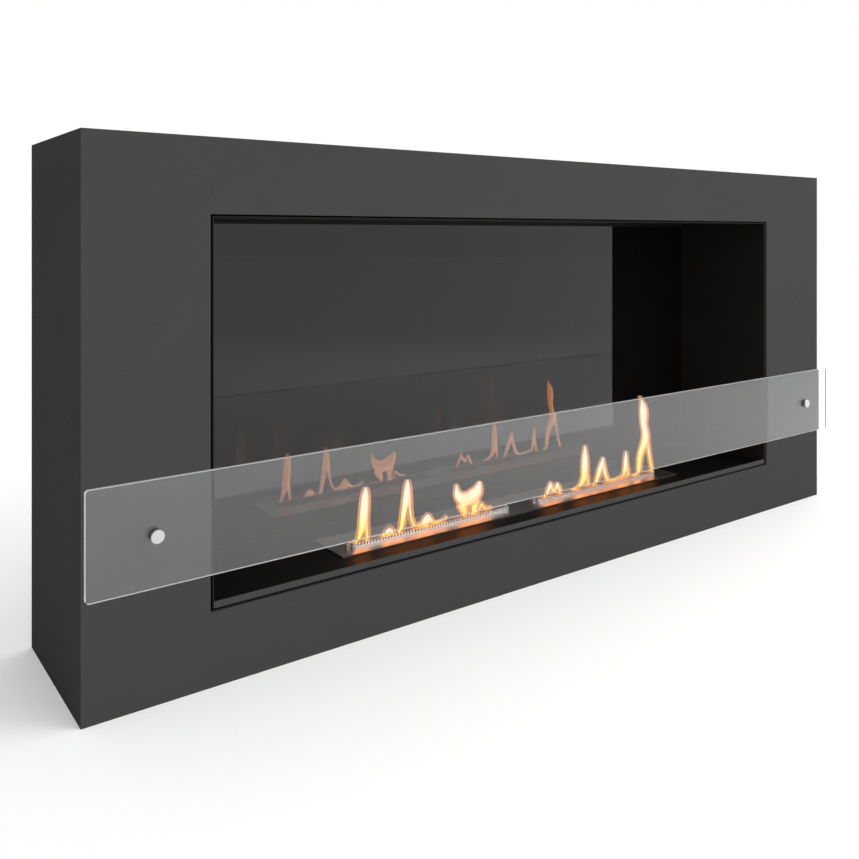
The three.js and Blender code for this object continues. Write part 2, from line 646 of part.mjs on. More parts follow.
const screenFront = -SCREEN_GAP - SCREEN_THICK;
const rearGasketFront = -SCREEN_GAP + SEAT;
const frontGasketBack = screenFront - SEAT;
const capBack = frontGasketBack - GASKET_THICK - SEAT;
const capFront = capBack - CAP_THICK;
const capBore = capBack - CAP_THICK / 2; // the blind hole's end
const studFront = capBore + SEAT;
const nutFront = CASING_SHEET + SEAT;
const studBack = nutFront + NUT_THICK + STUD_PAST_NUT;
const barrel = collar(STANDOFF_RADIUS, rearGasketFront + GASKET_THICK + SEAT, -SEAT);
const rearGasket = collar(STANDOFF_RADIUS, rearGasketFront, rearGasketFront + GASKET_THICK);
const frontGasket = collar(STANDOFF_RADIUS, frontGasketBack - GASKET_THICK, frontGasketBack);
const cap = turned(
  [
    [0, capFront],
    [STANDOFF_RADIUS - CAP_CHAMFER, capFront],
    [STANDOFF_RADIUS, capFront + CAP_CHAMFER],
    [STANDOFF_RADIUS, capBack],
    [STUD_HOLE, capBack],
    [STUD_HOLE, capBore],
    [0, capBore],
  ],
  32,
);
const stud = roundBar(STUD_RADIUS, 0, 0, studFront, studBack, 16);
const nut = without(
  solidOf(roundBar(NUT_RADIUS, 0, 0, nutFront, nutFront + NUT_THICK, 6)),
  [roundBar(STUD_HOLE, 0, 0, nutFront - PAST, nutFront + NUT_THICK + PAST, 16)],
);

["left", "right"].forEach((hand, i) => {
  const standoff = new THREE.Group();
  standoff.position.set(standoffX[i], 0, STANDOFF_Z);
  body.add(standoff);
  place(standoff, `standoff_${hand}_barrel`, barrel, chrome);
  place(standoff, `standoff_${hand}_stud`, stud, zinc);
  place(standoff, `standoff_${hand}_nut`, nut, zinc);
  place(standoff, `standoff_${hand}_rear_gasket`, rearGasket, rubber);
  place(standoff, `standoff_${hand}_front_gasket`, frontGasket, rubber);
  place(standoff, `standoff_${hand}_cap`, cap, chrome);
});

// ---- Back: panel, screws, wall rail, hooks and spacers ----
function buildRearPanel() {
  const area = grown(inside, -SEAT);
  const sheet = solidOf(block(area.left, area.right, PANEL_DEPTH, PANEL_BACK, area.bottom, area.top));
  const ventZ = HEIGHT - VENT_DROP;
  const vents = [];
  for (let i = 0; i < VENT_COUNT; i += 1) {
    const x = (i - (VENT_COUNT - 1) / 2) * VENT_PITCH;
    vents.push(
      block(
        x - VENT_LENGTH / 2,
        x + VENT_LENGTH / 2,
        PANEL_DEPTH - PAST,
        PANEL_BACK + PAST,
        ventZ - VENT_HEIGHT / 2,
        ventZ + VENT_HEIGHT / 2,
      ),
    );
  }
  const holes = screwSpots.map(([x, z]) => screwBore(x, z, PANEL_DEPTH, PANEL_BACK));
  return without(sheet, [...vents, ...holes]);
}
place(body, "rear_panel", buildRearPanel(), black);

const headBack = PANEL_BACK + SEAT + SCREW_HEAD_HEIGHT;
const screw = turned(
  [
    [0, PANEL_BACK + SEAT - SCREW_LENGTH],
    [SCREW_RADIUS, PANEL_BACK + SEAT - SCREW_LENGTH],
    [SCREW_RADIUS, PANEL_BACK + SEAT],
    [SCREW_HEAD_RADIUS, PANEL_BACK + SEAT],
    [SCREW_HEAD_RADIUS, headBack - SCREW_HEAD_HEIGHT / 2],
    [SCREW_CROWN_RADIUS, headBack],
    [0, headBack],
  ],
  14,
);
screwSpots.forEach(([x, z], i) => {
  place(body, `panel_screw_${i + 1}`, screw, zinc, x, 0, z);
});

// The rail is screwed to the wall. Its bent-up lip carries the two hooks.
const lipFront = DEPTH - RAIL_REACH;
const lipBack = lipFront + RAIL_SHEET;
function buildRail() {
  const profile = profileAlongX(
    [
      [DEPTH, RAIL_BOTTOM],
      [DEPTH, RAIL_BEND_Z],
      [lipBack, RAIL_BEND_Z],
      [lipBack, RAIL_LIP_TOP],
      [lipFront, RAIL_LIP_TOP],
      [lipFront, RAIL_BEND_Z - RAIL_SHEET],
      [DEPTH - RAIL_SHEET, RAIL_BEND_Z - RAIL_SHEET],
      [DEPTH - RAIL_SHEET, RAIL_BOTTOM],
    ],
    -RAIL_LENGTH / 2,
    RAIL_LENGTH / 2,
  );
  const holeZ = (RAIL_BOTTOM + RAIL_BEND_Z) / 2;
  return without(
    solidOf(profile),
    RAIL_HOLE_X.map((x) => roundBar(RAIL_HOLE_RADIUS, x, holeZ, DEPTH - RAIL_SHEET - PAST, DEPTH + PAST)),
  );
}
place(body, "wall_rail", buildRail(), zinc);

const hookFront = PANEL_BACK + SEAT;
const hookUnder = RAIL_LIP_TOP + SEAT;
const hookBottom = RAIL_LIP_TOP - HOOK_PLATE_HEIGHT;
const hookLegFront = lipBack + SEAT;
const hook = profileAlongX(
  [
    [hookFront, hookBottom],
    [hookFront, hookUnder + HOOK_SHEET],
    [hookLegFront + HOOK_SHEET, hookUnder + HOOK_SHEET],
    [hookLegFront + HOOK_SHEET, hookUnder - HOOK_LEG_DROP],
    [hookLegFront, hookUnder - HOOK_LEG_DROP],
    [hookLegFront, hookUnder],
    [hookFront + HOOK_SHEET, hookUnder],
    [hookFront + HOOK_SHEET, hookBottom],
  ],
  -HOOK_LENGTH / 2,
  HOOK_LENGTH / 2,
);
const spacer = roundBar(SPACER_RADIUS, 0, 0, PANEL_BACK + SEAT, DEPTH, 24);
["left", "right"].forEach((hand, i) => {
  const side = i * 2 - 1;
  place(body, `hanger_hook_${hand}`, hook, zinc, side * HOOK_X);
  place(body, `wall_spacer_${hand}`, spacer, rubber, side * (SIDE - SPACER_INSET), 0, SPACER_Z);
});

export default object;
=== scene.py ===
"""A wall-hung bioethanol fireplace.

A graphite steel box with a black mirror glass back, two slot burners with their flames, and a glass strip.
Metres. X runs along the width, Y from the front to the wall, Z up.
"""

import json
import math

import bpy
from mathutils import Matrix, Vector


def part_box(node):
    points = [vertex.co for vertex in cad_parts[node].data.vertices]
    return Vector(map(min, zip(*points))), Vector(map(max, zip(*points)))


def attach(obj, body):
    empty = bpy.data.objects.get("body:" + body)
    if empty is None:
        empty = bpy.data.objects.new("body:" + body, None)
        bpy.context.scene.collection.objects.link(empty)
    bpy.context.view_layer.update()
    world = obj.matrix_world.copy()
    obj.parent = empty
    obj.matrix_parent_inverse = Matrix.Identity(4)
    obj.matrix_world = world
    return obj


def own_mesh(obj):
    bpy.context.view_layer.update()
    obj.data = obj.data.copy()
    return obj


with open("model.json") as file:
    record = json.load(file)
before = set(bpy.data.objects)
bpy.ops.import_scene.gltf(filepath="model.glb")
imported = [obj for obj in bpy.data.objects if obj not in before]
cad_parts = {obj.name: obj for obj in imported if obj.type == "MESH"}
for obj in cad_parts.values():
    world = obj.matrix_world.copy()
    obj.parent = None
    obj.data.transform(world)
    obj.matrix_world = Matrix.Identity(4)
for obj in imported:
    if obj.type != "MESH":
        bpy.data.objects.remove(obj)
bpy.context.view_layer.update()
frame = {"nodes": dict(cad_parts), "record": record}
nodes = frame["nodes"]

MM = 0.001
WHITE = (1, 1, 1, 1)
scene = bpy.context.scene

# ---- Camera, as fitted to the box's edges in the photo ----
CAMERA_AT = (-0.8125, -0.9041, 0.4422)
CAMERA_YAW = 36.19  # degrees to the right of +Y
CAMERA_LENS = 36.894  # millimetres, like the sensor
CAMERA_SENSOR = 36
CAMERA_SHIFT_Y = -0.22774
CAMERA_NEAR = 0.01
CAMERA_FAR = 50

# ---- Light ----
SKY_MIDDLE = 0.68
SKY_RIGHT = 0.62  # added towards +X, taken off towards -X
SKY_FRONT = 0.5  # added in front, taken off behind
SKY_TOP = 0.6  # added overhead
FLOOR_SIZE = 24
FLOOR_SEEN = 0.88  # the floor's colour to the camera, mirror and glass
FLOOR_BOUNCE = 0.72  # and to the rough surfaces that it lights
FLOOR_CLOUD = 0.01  # how much its colour varies
FLOOR_GLOW = 0.1  # what the camera, mirror and glass see besides, where the floor lies in shade too
SOFTBOX_AT = (0.9, -1.4, 1.35)
SOFTBOX_AIM = (0, 0, 0.2)
SOFTBOX_SIZE = 0.9
SOFTBOX_POWER = 10

# ---- Surfaces ----
NOISE_RANGE = (0.3, 0.7)  # where most of a noise pattern's values lie
COAT_GRAIN = 0.03  # strength of a painted coat's bump
COAT_GRAIN_DEPTH = 0.0002
LIP_DEPTH = 2 * MM  # the shelf's lip lies within this of its front edge
LIP_FOLD = 1.4 * MM  # and starts this far over its underside
PLATE_MARGIN = 0.2 * MM  # what stands this far over the burner plate's top is comb or rim
LONG_GRAIN = (1, 40, 40)  # 40 times as long along X as across
GLASS_IOR = 1.64
MIRROR_IOR = 1.51
FACING = 0.5  # a surface faces along an axis if its normal's share of that axis is over this

# ---- Flames: sizes in millimetres ----
FLAME_DEPTH = 63.2  # behind the front face, over the slot
FLAME_ROOT = 77.5  # height of the plate's top
FLAME_LIFT = 3.5  # from there to the strokes' own zero
FLAME_CLEAR = 2.0  # nothing shows below this height above the plate
FLAME_FULL = 5.5  # and all of it shows from here up
FLATNESS = 0.55  # thickness of a tongue, as a share of its width
LEAST_HALF_WIDTH = 0.5
LEAST_HALF_DEPTH = 0.9  # before it is flattened
HALO = 3.0  # how far the glowing shell stands off the flame
FLAME_VOXEL = 0.55
FLAME_SMOOTHING = 5  # rounds of smoothing
PATH_STEPS = 5  # from one point of a stroke to the next
TONGUE_SIDES = 14

# ---- Flames: light and colours ----
FLAME_SEEN = 1.15  # brightness to the eye
FLAME_LIGHT = 12.0  # at a flame's outline, as it lights what is near and is mirrored
FLAME_LIGHT_INSIDE = 5.0
HALO_STRENGTH = 0.5
FLICKER = 0.16  # how far the colours waver, as a share of the flame's height
CORE_LOW = (1, 0.82, 0.1, 1)
CORE_MIDDLE = (1, 0.95, 0.62, 1)
CORE_TOP = (1, 0.76, 0.62, 1)
EDGE_LOW = (1, 0.33, 0.04, 1)
EDGE_TOP = (0.95, 0.34, 0.16, 1)
LIGHT_COLOUR = (0.54, 0.155, 0.02, 1)
MIRRORED_COLOUR = (1.2, 0.5, 0.25, 1)

# A flame has its place along X and its strokes. Each stroke is a row of points (x, height, half width):
# x from the flame's place, height above the plate's top and FLAME_LIFT. Strokes of one flame run together.
FLAMES_LEFT = {
    "flame_l1": (-267.3, [
        [
            (4.6, 64, 1.4), (4.2, 57, 3.8), (3.6, 48, 5.0), (2.8, 38, 5.4), (1.8, 28, 5.4),
            (0, 18, 4.6), (-3.6, 9, 2.7), (-6.8, 1, 1.6), (-7.8, -4, 1.2),
        ],
        [(3.2, 26, 4.2), (5, 17, 2.8), (6.4, 8, 1.8), (7.6, -1, 1.4), (8, -4, 1.1)],
    ]),
    "flame_l2": (-229, [
        [(-9, -3, 1.2), (-6, 3, 2.2), (-1, 8.5, 1.2), (3, 4.5, 2.4), (8, -3, 1.3)],
        [(-2, 6, 2.2), (0, -2, 3.0)],
    ]),
    "flame_l3": (-204.2, [
        [
            (1.2, 63, 1.2), (1, 55, 3.6), (0.6, 45, 4.9), (-1.2, 36, 4.7), (-3.6, 27, 3.8),
            (-5.2, 18, 3.4), (-6.8, 10, 3.1), (-9.4, 1, 2.4), (-10.2, -4, 2),
        ],
        [
            (2.2, 44, 3.8), (4.2, 33, 2.2), (5.4, 22, 1.7), (7.4, 13, 1.6), (11.2, 5.5, 1.6),
            (16, 3, 1.5), (21, 5, 1.6),
        ],
    ]),
    "flame_l4": (-173.7, [
        [
            (-11, 1, 1.6), (-6, 5, 3.0), (0.4, 14.5, 1.2), (5.5, 6, 3.0), (10, 2.4, 1.8),
            (17, 1.4, 1.4), (24, 2.6, 1.3), (31, 7, 1.0),
        ],
        [(0.2, 11, 2.2), (0, 6, 4.4), (-1, -2, 4.0)],
    ]),
    "flame_l5": (-108, [
        [
            (-20.2, 45, 0.8), (-19.6, 38.5, 2.5), (-17.2, 30.5, 5.2), (-9.5, 24.5, 7.6), (-1, 22.8, 8.8),
            (7, 25, 9.0), (13.2, 29.5, 8.0), (16.6, 36, 5.0), (18.2, 42.5, 0.9),
        ],
        [(-11, 19, 6.6), (-7.8, 11.5, 5.2), (-5.2, 5.5, 3.2), (-4.8, 0, 1.6)],
        [(12.2, 20, 5.8), (9.8, 11, 4.6), (9.8, 4, 3.8), (11, -1, 2.4)],
        [(16.2, 1, 1.4), (20.2, 11.6, 1.7), (25, 7.2, 1.6), (30, 4.6, 1.5), (38, 4.6, 1.3)],
    ]),
}
FLAMES_RIGHT = {
    "flame_r1": (40, [
        [(-14, -2, 1.3), (-9.6, 7.5, 2.2), (-6, 14, 2.3), (-3.6, 21.5, 0.8)],
        [(-4, 17, 1.8), (-0.4, 10, 2.2), (3.4, 7, 2.1), (6.6, 10.5, 2.2), (9.6, 18, 0.8)],
        [(9, 14, 1.9), (12.6, 8, 2.1), (15.6, 2, 1.8), (18, -3, 1.2)],
    ]),
    "flame_r2": (104.8, [
        [
            (-1.8, 61.5, 0.8), (-1.8, 52, 3.2), (-1.7, 40, 4.9), (-1.7, 29, 5.6), (-2.8, 18, 5.0),
            (-7.2, 9.5, 3.5), (-12.4, 5, 2.1), (-18, 2.4, 1.6), (-24, 1, 1.3),
        ],
        [(0.8, 24, 3.6), (2.8, 15, 2.2), (4.2, 7, 1.5), (4.8, 1, 1.1)],
    ]),
    "flame_r3": (141.2, [
        [
            (-0.4, 39.5, 0.9), (-2.6, 31, 3.4), (-7.8, 21, 3.7), (-12.4, 11, 2.9), (-17.4, 2, 1.7),
            (-19, -4, 1.2),
        ],
        [
            (-1.2, 32, 2.6), (1.2, 22, 2.7), (4.2, 13, 2.4), (9, 4.6, 2.1), (15.4, 1.8, 1.7),
            (23, 1.2, 1.5), (31, 2.2, 1.4), (38, 4.2, 1.3),
        ],
    ]),
    "flame_r4": (190, [
        [
            (-1, 41, 0.8), (-1.2, 30, 2.8), (-1.8, 20, 3.6), (-4.4, 10, 2.5), (-7.4, 2, 1.7),
            (-10, -4, 1.2),
        ],
        [(-0.2, 21, 3.0), (2.4, 11, 2.3), (4, 2, 1.6), (4.6, -4, 1.2)],
    ]),
    "flame_r5": (228.5, [
        [
            (-5, 118, 0.7), (-4.4, 110, 2.0), (-1.4, 101, 5.6), (0.4, 91, 6.8), (0, 79, 5.6),
            (2, 69, 4.9), (4.4, 58, 6.2), (2.8, 48, 6.6), (-2.8, 39, 5.3), (-7.4, 30, 4.4),
            (-9.6, 20, 3.9), (-10.6, 10, 3.3), (-12.4, 3, 2.2), (-17, 1.6, 1.5), (-22, 0.6, 1.2),
        ],
        [
            (6.4, 54, 4.2), (9.2, 45, 2.8), (11, 36, 2.3), (13.2, 26, 2.1), (16.4, 13, 1.9),
            (20.4, 1, 1.7), (21, -4, 1.4),
        ],
    ]),
}


# ---- Node helpers ----
class Nodes:
    """Short names for building one material's or world's node tree."""

    # The Mix node's colour sockets come after its numbers and vectors.
    MIX_A = 6
    MIX_B = 7
    MIX_RESULT = 2

    def __init__(self, tree):
        self.tree = tree
        tree.nodes.clear()

    def set(self, socket, value):
        """Links another node's socket to this one, or gives this one a fixed value."""
        if isinstance(value, bpy.types.NodeSocket):
            self.tree.links.new(value, socket)
        else:
            socket.default_value = value

    def add(self, kind, **inputs):
        """A node with its inputs set by name, with _ for each space."""
        node = self.tree.nodes.new(kind)
        for name, value in inputs.items():
            self.set(node.inputs[name.replace("_", " ")], value)
        return node

    def math(self, operation, a, b=None):
        node = self.add("ShaderNodeMath")
        node.operation = operation
        self.set(node.inputs[0], a)
        if b is not None:
            self.set(node.inputs[1], b)
        return node.outputs[0]

    def remap(self, value, from_low, from_high, to_low=0, to_high=1):
        node = self.add(
            "ShaderNodeMapRange",
            Value=value,
            From_Min=from_low,
            From_Max=from_high,
            To_Min=to_low,
            To_Max=to_high,
        )
        return node.outputs["Result"]

    def choose(self, factor, at_zero, at_one):
        """A number that runs from one value to the other with the factor."""
        return self.remap(factor, 0, 1, at_zero, at_one)

    def blend(self, factor, a, b):
        """A colour that runs from a to b with the factor."""
        node = self.add("ShaderNodeMix")
        node.data_type = "RGBA"
        self.set(node.inputs["Factor"], factor)
        self.set(node.inputs[self.MIX_A], a)
        self.set(node.inputs[self.MIX_B], b)
        return node.outputs[self.MIX_RESULT]

    def mix(self, factor, a, b):
        """Shader a where the factor is 0, and shader b where it is 1."""
        node = self.add("ShaderNodeMixShader")
        self.set(node.inputs[0], factor)
        self.set(node.inputs[1], a.outputs[0])
        self.set(node.inputs[2], b.outputs[0])
        return node

    def place(self, stretch=(1, 1, 1)):
        """A point of the object in metres, times stretch."""
        coords = self.add("ShaderNodeTexCoord")
        mapping = self.add("ShaderNodeMapping", Vector=coords.outputs["Object"], Scale=stretch)
        return mapping.outputs["Vector"]

    def noise(self, scale, detail=2.0, stretch=(1, 1, 1)):
        node = self.add("ShaderNodeTexNoise", Vector=self.place(stretch), Scale=scale, Detail=detail)
        return node.outputs["Fac"]

    def bump(self, height, strength, distance):
        node = self.add("ShaderNodeBump", Height=height, Strength=strength, Distance=distance)
        return node.outputs["Normal"]

    def coat_grain(self, scale):
        """The fine grain of a painted coat."""
        return self.bump(self.noise(scale), COAT_GRAIN, COAT_GRAIN_DEPTH)

    def axis(self, vector, name):
        return self.add("ShaderNodeSeparateXYZ", Vector=vector).outputs[name]

    def rays(self):
        """What kind of ray meets the surface."""
        return self.add("ShaderNodeLightPath").outputs

    def output(self, shader, kind="ShaderNodeOutputMaterial"):
        self.add(kind, Surface=shader.outputs[0])


def new_material(name):
    material = bpy.data.materials.new(name)
    material.use_nodes = True
    return material, Nodes(material.node_tree)


def grey(value, warm=0.0):
    return (value * (1 + warm), value, value * (1 - warm), 1)


def surface(n, pattern, colours, roughness, spread=NOISE_RANGE, **inputs):
    """A Principled shader whose colour and roughness each run between two values with a pattern."""
    return n.add(
        "ShaderNodeBsdfPrincipled",
        Base_Color=n.blend(pattern, *colours),
        Roughness=n.remap(pattern, *spread, *roughness),
        **inputs,
    )


# ---- Materials ----
def powder_coat():
    """Graphite powder coat: a fine grain over a slightly uneven satin coat."""
    material, n = new_material("graphite_powder_coat")
    shader = surface(
        n,
        n.noise(9, detail=3),
        colours=(grey(0.053), grey(0.06)),
        roughness=(0.56, 0.62),
        Specular_IOR_Level=0.0,
        Normal=n.coat_grain(2600),
    )
    n.output(shader)
    return material


def black_paint():
    """Heat-proof black paint, satin, a little cloudy."""
    material, n = new_material("black_firebox")
    shader = surface(
        n,
        n.noise(14, detail=3),
        colours=(grey(0.011), grey(0.015)),
        roughness=(0.42, 0.5),
        Specular_IOR_Level=0.1,
        Normal=n.coat_grain(1800),
    )
    n.output(shader)
    return material


def shelf_paint():
    """The shelf is satin black, and its front lip has the casing's graphite coat."""
    material, n = new_material("black_shelf")
    low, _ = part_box("burner_shelf")
    point = n.place()
    near_front = n.math("LESS_THAN", n.axis(point, "Y"), low[1] + LIP_DEPTH)
    above_fold = n.math("GREATER_THAN", n.axis(point, "Z"), low[2] + LIP_FOLD)
    on_lip = n.math("MULTIPLY", near_front, above_fold)
    cloud = n.noise(11, detail=3)
    black = n.blend(cloud, grey(0.003), grey(0.005))
    graphite = n.blend(cloud, grey(0.05), grey(0.058))
    shader = n.add(
        "ShaderNodeBsdfPrincipled",
        Base_Color=n.blend(on_lip, black, graphite),
        Roughness=n.choose(on_lip, 0.5, 0.6),
        Specular_IOR_Level=0.08,
        Normal=n.coat_grain(1800),
    )
    n.output(shader)
    return material


def mirror_glass():
    """Glossy black toughened glass."""
    material, n = new_material("black_mirror_glass")
    shader = n.add(
        "ShaderNodeBsdfPrincipled",
        Base_Color=n.blend(n.noise(3), grey(0.0025), grey(0.004)),
        Roughness=0.0,
        IOR=MIRROR_IOR,
    )
    n.output(shader)
    return material


def brushed_steel():
    """Brushed stainless steel, grain along X. The comb and rim that stand on the plate are polished and
    painted much brighter, a painted highlight for the light their edges catch.
    """
    material, n = new_material("brushed_stainless")
    grain = n.noise(60, detail=3, stretch=LONG_GRAIN)
    plate_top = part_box("burner_left_plate")[1][2]
    standing = n.math("GREATER_THAN", n.axis(n.place(), "Z"), plate_top + PLATE_MARGIN)
    sheet = n.blend(grain, grey(0.33, warm=0.02), grey(0.4, warm=0.02))
    # Painted highlight: the comb and rim get a near-white steel colour, far lighter than the plate's, for the
    # light they catch.
    polished_and_highlit = n.blend(grain, grey(0.85, warm=0.01), grey(0.95, warm=0.01))
    shader = n.add(
        "ShaderNodeBsdfPrincipled",
        Base_Color=n.blend(standing, sheet, polished_and_highlit),
        Roughness=n.remap(grain, *NOISE_RANGE, 0.27, 0.39),
        Metallic=1.0,
        Normal=n.bump(grain, strength=0.08, distance=0.0002),
    )
    n.output(shader)
    return material


def polished_steel():
    """Turned and polished steel, a little uneven."""
    material, n = new_material("polished_steel")
    shader = surface(
        n,
        n.noise(220),
        colours=(grey(0.58), grey(0.64)),
        roughness=(0.12, 0.18),
        Metallic=1.0,
    )
    n.output(shader)
    return material


def zinc():
    """Zinc plating, with its faint spangle."""
    material, n = new_material("zinc_steel")
    cells = n.add("ShaderNodeTexVoronoi", Vector=n.place(), Scale=160)
    shader = surface(
        n,
        n.axis(cells.outputs["Color"], "X"),
        colours=((0.46, 0.47, 0.49, 1), (0.55, 0.56, 0.58, 1)),
        roughness=(0.34, 0.46),
        spread=(0, 1),
        Metallic=1.0,
    )
    n.output(shader)
    return material


def rubber():
    """Matt black rubber."""
    material, n = new_material("rubber")
    cloud = n.noise(300, detail=3)
    shader = surface(
        n,
        cloud,
        colours=(grey(0.015), grey(0.026)),
        roughness=(0.7, 0.85),
        Normal=n.bump(cloud, strength=0.2, distance=0.0003),
    )
    n.output(shader)
    return material


def ceramic_wool():
    """Off-white ceramic fibre, quite rough."""
    material, n = new_material("ceramic_wool")
    fibre = n.noise(420, detail=6, stretch=(1, 1, 3))
    shader = surface(
        n,
        fibre,
        colours=((0.72, 0.69, 0.62, 1), (0.88, 0.86, 0.8, 1)),
        roughness=(0.9, 1.0),
        Normal=n.bump(fibre, strength=0.6, distance=0.001),
    )
    n.output(shader)
    return material


def clear_glass():
    """Clear glass whose polished edges are painted pale and rough, a painted highlight for the light that
    gathers in them. It bends what is seen through it and lets light straight on.
    """
    material, n = new_material("clear_glass")
    cloud = n.noise(6)
    bending = n.add(
        "ShaderNodeBsdfPrincipled",
        Base_Color=n.blend(cloud, (0.975, 0.985, 0.98, 1), (0.985, 0.99, 0.988, 1)),
        Roughness=0.0,
        IOR=GLASS_IOR,
        Transmission_Weight=1.0,
    )
    # Painted highlight: the edges get a pale, rough, half-clear surface for the light that gathers in the
    # glass.
    edge_highlight = n.add(
        "ShaderNodeBsdfPrincipled",
        Base_Color=n.blend(cloud, grey(0.93), grey(0.98)),
        Roughness=0.3,
        IOR=GLASS_IOR,
        Transmission_Weight=0.3,
    )
    geometry = n.add("ShaderNodeNewGeometry").outputs
    normal = geometry["True Normal"]
    on_edge = n.math("LESS_THAN", n.math("ABSOLUTE", n.axis(normal, "Y")), FACING)
    on_end = n.math("GREATER_THAN", n.math("ABSOLUTE", n.axis(normal, "X")), FACING)
    # An end met from inside mirrors the sheet's back, as polished glass does.
    end_inside = n.math("MULTIPLY", on_end, geometry["Backfacing"])
    on_edge_highlight = n.math("MULTIPLY", on_edge, n.math("SUBTRACT", 1.0, end_inside))
    straight = n.add("ShaderNodeBsdfTransparent", Color=grey(0.99))
    rays = n.rays()
    lighting = n.math("MAXIMUM", rays["Is Shadow Ray"], rays["Is Diffuse Ray"])
    n.output(n.mix(lighting, n.mix(on_edge_highlight, bending, edge_highlight), straight))
    return material


def flame(name, is_halo):
    """Hot gas, bright where one looks through most of it and orange at its edges. Its light is orange."""
    material, n = new_material(name)
    weight = n.add("ShaderNodeLayerWeight", Blend=0.5)
    through = n.math("SUBTRACT", 1.0, weight.outputs["Facing"])

    attribute = n.add("ShaderNodeAttribute")
    attribute.attribute_name = "rise"
    waver = n.math("SUBTRACT", n.noise(160, stretch=(1, 1, 0.3)), 0.5)
    rise = n.math("ADD", attribute.outputs["Fac"], n.math("MULTIPLY", waver, FLICKER))
    upper = n.blend(n.remap(rise, 0.65, 1.0), CORE_MIDDLE, CORE_TOP)
    core = n.blend(n.remap(rise, 0.2, 0.6), CORE_LOW, upper)
    edge = n.blend(n.remap(rise, 0.3, 1.0), EDGE_LOW, EDGE_TOP)

    # A dark mirror keeps the body of a flame and loses its faint edge and halo.
    if is_halo:
        # The shell shows round the core and leaves its middle clear.
        outline = n.math("MULTIPLY", n.remap(through, 0.0, 0.6), n.remap(through, 0.65, 0.95, 1, 0))
        colour = edge
        alpha_seen = n.math("MULTIPLY", outline, HALO_STRENGTH)
        alpha_mirrored = 0.0
    else:
        colour = n.blend(n.remap(through, 0.2, 0.7), edge, core)
        alpha_seen = n.remap(through, 0.02, 0.3)
        alpha_mirrored = n.remap(through, 0.35, 0.75)

    rays = n.rays()
    seen = n.math("MAXIMUM", rays["Is Camera Ray"], rays["Is Transmission Ray"])
    mirrored = n.math("MULTIPLY", rays["Is Singular Ray"], n.math("SUBTRACT", 1.0, seen))
    height = n.axis(n.place(), "Z")
    root = FLAME_ROOT * MM
    low_fade = n.remap(height, root + FLAME_CLEAR * MM, root + FLAME_FULL * MM)
    high_fade = n.remap(rise, 0.8, 1.0, 1.0, 0.7)
    alpha = n.choose(mirrored, alpha_seen, alpha_mirrored)
    alpha = n.math("MULTIPLY", n.math("MULTIPLY", alpha, low_fade), high_fade)

    light = n.remap(through, 0.45, 0.9, FLAME_LIGHT, FLAME_LIGHT_INSIDE)
    glow = n.add(
        "ShaderNodeEmission",
        Color=n.blend(seen, n.blend(mirrored, LIGHT_COLOUR, MIRRORED_COLOUR), colour),
        Strength=n.choose(seen, light, FLAME_SEEN),
    )
    clear = n.add("ShaderNodeBsdfTransparent", Color=WHITE)
    n.output(n.mix(alpha, clear, glow))
    return material


def dress_nodes():
    """Every solid of the frame gets the material that the record names for it."""
    materials = {
        "graphite_powder_coat": powder_coat(),
        "black_firebox": black_paint(),
        "black_shelf": shelf_paint(),
        "black_mirror_glass": mirror_glass(),
        "brushed_stainless": brushed_steel(),
        "ceramic_wool": ceramic_wool(),
        "clear_glass": clear_glass(),
        "polished_steel": polished_steel(),
        "zinc_steel": zinc(),
        "rubber": rubber(),
    }
    for part in frame["record"]["subparts"]:
        mesh = nodes[part["node"]].data
        mesh.materials.clear()
        mesh.materials.append(materials[part["material_slot"]])


# ---- Flames ----
def curve_value(before, start, end, after, share):
    """A value on the smooth curve from start to end, share of the way along."""
    slope = (end - before) * share
    bend = (2 * before - 5 * start + 4 * end - after) * share * share
    twist = (3 * start - before - 3 * end + after) * share**3
    return 0.5 * (2 * start + slope + bend + twist)


def smooth_path(points):
    """The row of points with more put in along a smooth curve through them."""
    rows = [points[0], *points, points[-1]]
    path = []
    for quad in zip(rows, rows[1:], rows[2:], rows[3:]):
        for step in range(PATH_STEPS):
            path.append(tuple(curve_value(*values, step / PATH_STEPS) for values in zip(*quad)))
    path.append(points[-1])
    return path


def add_tongue(verts, faces, points, grow):
    """Adds one stroke to the two lists, as a closed tube flattened from front to back and grown all round."""
    path = smooth_path(points)
    first = len(verts)
    last = first + (len(path) - 1) * TONGUE_SIDES
    for i, (x, z, half_width) in enumerate(path):
        before = path[max(i - 1, 0)]
        after = path[min(i + 1, len(path) - 1)]
        along = Vector((after[0] - before[0], after[1] - before[1])).normalized()
        wide = max(half_width, LEAST_HALF_WIDTH) + grow
        thick = max(half_width, LEAST_HALF_DEPTH) * FLATNESS + grow
        for side in range(TONGUE_SIDES):
            turn = 2 * math.pi * side / TONGUE_SIDES
            across = math.cos(turn) * wide
            verts.append((x - along.y * across, math.sin(turn) * thick, z + along.x * across))
    for ring in range(first, last, TONGUE_SIDES):
        for side in range(TONGUE_SIDES):
            a = ring + side
            b = ring + (side + 1) % TONGUE_SIDES
            faces.append((a, b, b + TONGUE_SIDES, a + TONGUE_SIDES))
    faces.append(tuple(range(first + TONGUE_SIDES - 1, first - 1, -1)))
    faces.append(tuple(range(last, last + TONGUE_SIDES)))


def merged_mesh(name, verts, faces):
    """Tubes that run into each other, as one smooth closed skin."""
    mesh = bpy.data.meshes.new(name)
    mesh.from_pydata(verts, [], faces)
    rough = bpy.data.objects.new(name + "_rough", mesh)
    scene.collection.objects.link(rough)
    merge = rough.modifiers.new("merge", "REMESH")
    merge.mode = "VOXEL"
    merge.voxel_size = FLAME_VOXEL * MM
    soften = rough.modifiers.new("soften", "SMOOTH")
    soften.iterations = FLAME_SMOOTHING
    evaluated = rough.evaluated_get(bpy.context.evaluated_depsgraph_get())
    merged = bpy.data.meshes.new_from_object(evaluated)
    bpy.data.objects.remove(rough)
    for polygon in merged.polygons:
        polygon.use_smooth = True
    return merged


